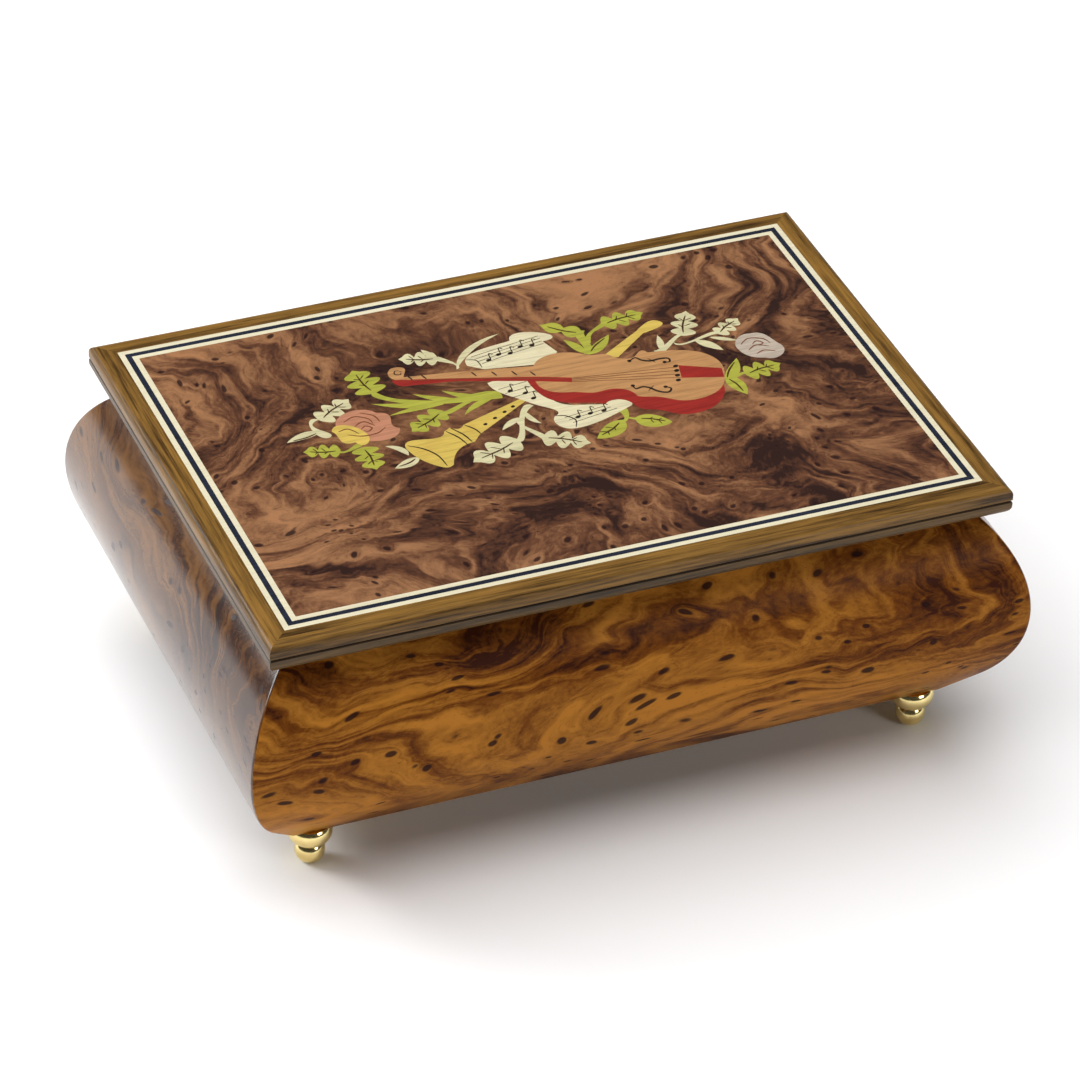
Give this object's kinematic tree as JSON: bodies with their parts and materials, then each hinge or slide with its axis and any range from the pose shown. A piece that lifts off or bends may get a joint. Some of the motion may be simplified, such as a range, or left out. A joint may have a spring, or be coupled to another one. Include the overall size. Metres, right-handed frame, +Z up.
{
  "type": "cylinder music box",
  "caption": "Bulging burl-wood jewellery music box on brass ball feet, with a hinged marquetry lid, a lined tray with ring rolls and a key-wound cylinder movement.",
  "frame": {"origin": "on the floor, at the middle of the footprint", "axes": "+Z up, +X along the width, the front faces -Y"},
  "size_m": [0.19, 0.1338, 0.0726],
  "materials": {
    "burl": "satin lacquered figured root burl",
    "edging_wood": "satin lacquered striped walnut",
    "light_line": "satin lacquered maple",
    "dark_line": "satin lacquered dyed black pear",
    "board": "plain plywood",
    "divider_wood": "stained board",
    "spruce": "satin lacquered",
    "padauk": "satin lacquered",
    "holly": "satin lacquered",
    "boxwood": "satin lacquered",
    "pink_wood": "satin lacquered",
    "grey_wood": "satin lacquered",
    "green_wood": "satin lacquered dyed",
    "cream_wood": "satin lacquered",
    "polished_brass": "polished, lacquered",
    "cast_metal": "plain zinc casting",
    "brass": "turned",
    "steel": "ground",
    "screw_steel": "bright",
    "velvet": "short pile velvet",
    "clear": "clear plastic sheet",
    "white_plastic": "moulded"
  },
  "bodies": {
    "case": {"front_panel": "burl", "back_panel": "burl", "left_panel": "burl", "right_panel": "burl", "floor_panel": "board", "ball_feet": "polished_brass", "foot_pins": "screw_steel", "divider": "divider_wood", "short_divider": "velvet", "floor_lining": "velvet", "wall_linings": "velvet", "ring_rolls": "velvet", "cover_ledges": "divider_wood", "movement_cover": "clear", "cover_screws": "brass", "hinge_case_leaves": "polished_brass", "hinge_pins": "screw_steel", "hinge_case_screws": "polished_brass", "bedplate": "cast_metal", "bedplate_screws": "screw_steel", "comb": "steel", "comb_block": "cast_metal", "movement_screws": "screw_steel", "cylinder_bearings": "cast_metal", "barrel_bridge": "cast_metal", "governor_frame": "cast_metal"},
    "lid": {"lid_core": "board", "lid_edging_front": "edging_wood", "lid_edging_back": "edging_wood", "lid_edging_left": "edging_wood", "lid_edging_right": "edging_wood", "stringing_light": "light_line", "stringing_dark": "dark_line", "lid_field_veneer": "burl", "inlay_spruce": "spruce", "inlay_padauk": "padauk", "inlay_holly": "holly", "inlay_boxwood": "boxwood", "inlay_pink_rose": "pink_wood", "inlay_white_rose": "grey_wood", "inlay_green_leaves": "green_wood", "inlay_cream_leaves": "cream_wood", "lid_lining": "velvet", "hinge_lid_leaves": "polished_brass", "hinge_lid_screws": "polished_brass"},
    "winding": {"winding_key": "brass", "winding_arbor": "steel", "ratchet_wheel": "steel"},
    "barrel": {"spring_barrel": "brass", "barrel_gear": "brass", "mainspring": "steel"},
    "pinned_cylinder": {"cylinder": "brass", "cylinder_pins": "steel", "cylinder_arbor": "steel", "cylinder_gears": "brass"},
    "governor_axle": {"governor_wheels": "brass"},
    "fan_spindle": {"governor_worm": "steel", "governor_fan": "white_plastic"},
    "click_lever": {"click": "steel"},
    "stop": {"stop_rod": "steel"}
  },
  "joints": [
    {"name": "lid_hinge", "type": "hinge", "parent": "case", "child": "lid", "pos_m": [0, 0.058, 0.0652], "axis": [-1, 0, 0], "range_deg": [0, 95]},
    {"name": "winding_turn", "type": "hinge", "parent": "case", "child": "winding", "pos_m": [-0.0585, 0.004, 0.009], "axis": [0, 0, 1], "continuous": true},
    {"name": "barrel_spin", "type": "hinge", "parent": "case", "child": "barrel", "pos_m": [-0.0585, 0.004, 0.022], "axis": [0, 0, 1], "continuous": true},
    {"name": "cylinder_spin", "type": "hinge", "parent": "case", "child": "pinned_cylinder", "pos_m": [-0.0355, 0.004, 0.026], "axis": [1, 0, 0], "continuous": true},
    {"name": "governor_spin", "type": "hinge", "parent": "case", "child": "governor_axle", "pos_m": [-0.0215, 0.0132, 0.026], "axis": [1, 0, 0], "continuous": true},
    {"name": "fan_spin", "type": "hinge", "parent": "case", "child": "fan_spindle", "pos_m": [-0.0199, 0.0064, 0.03], "axis": [0, 0, 1], "continuous": true},
    {"name": "click_swing", "type": "hinge", "parent": "case", "child": "click_lever", "pos_m": [-0.0557, 0.0136, 0.032], "axis": [0, 0, 1], "range_deg": [0, 12]},
    {"name": "stop_lift", "type": "slide", "parent": "case", "child": "stop", "axis": [0, 0, 1], "range_m": [0, 0.003]}
  ],
  "couplings": [
    {"joint": "cylinder_spin", "follows": "barrel_spin", "ratio": -2},
    {"joint": "governor_spin", "follows": "barrel_spin", "ratio": 8},
    {"joint": "fan_spin", "follows": "barrel_spin", "ratio": 60},
    {"joint": "stop_lift", "follows": "lid_hinge", "m_per_rad": 0.0018088}
  ]
}
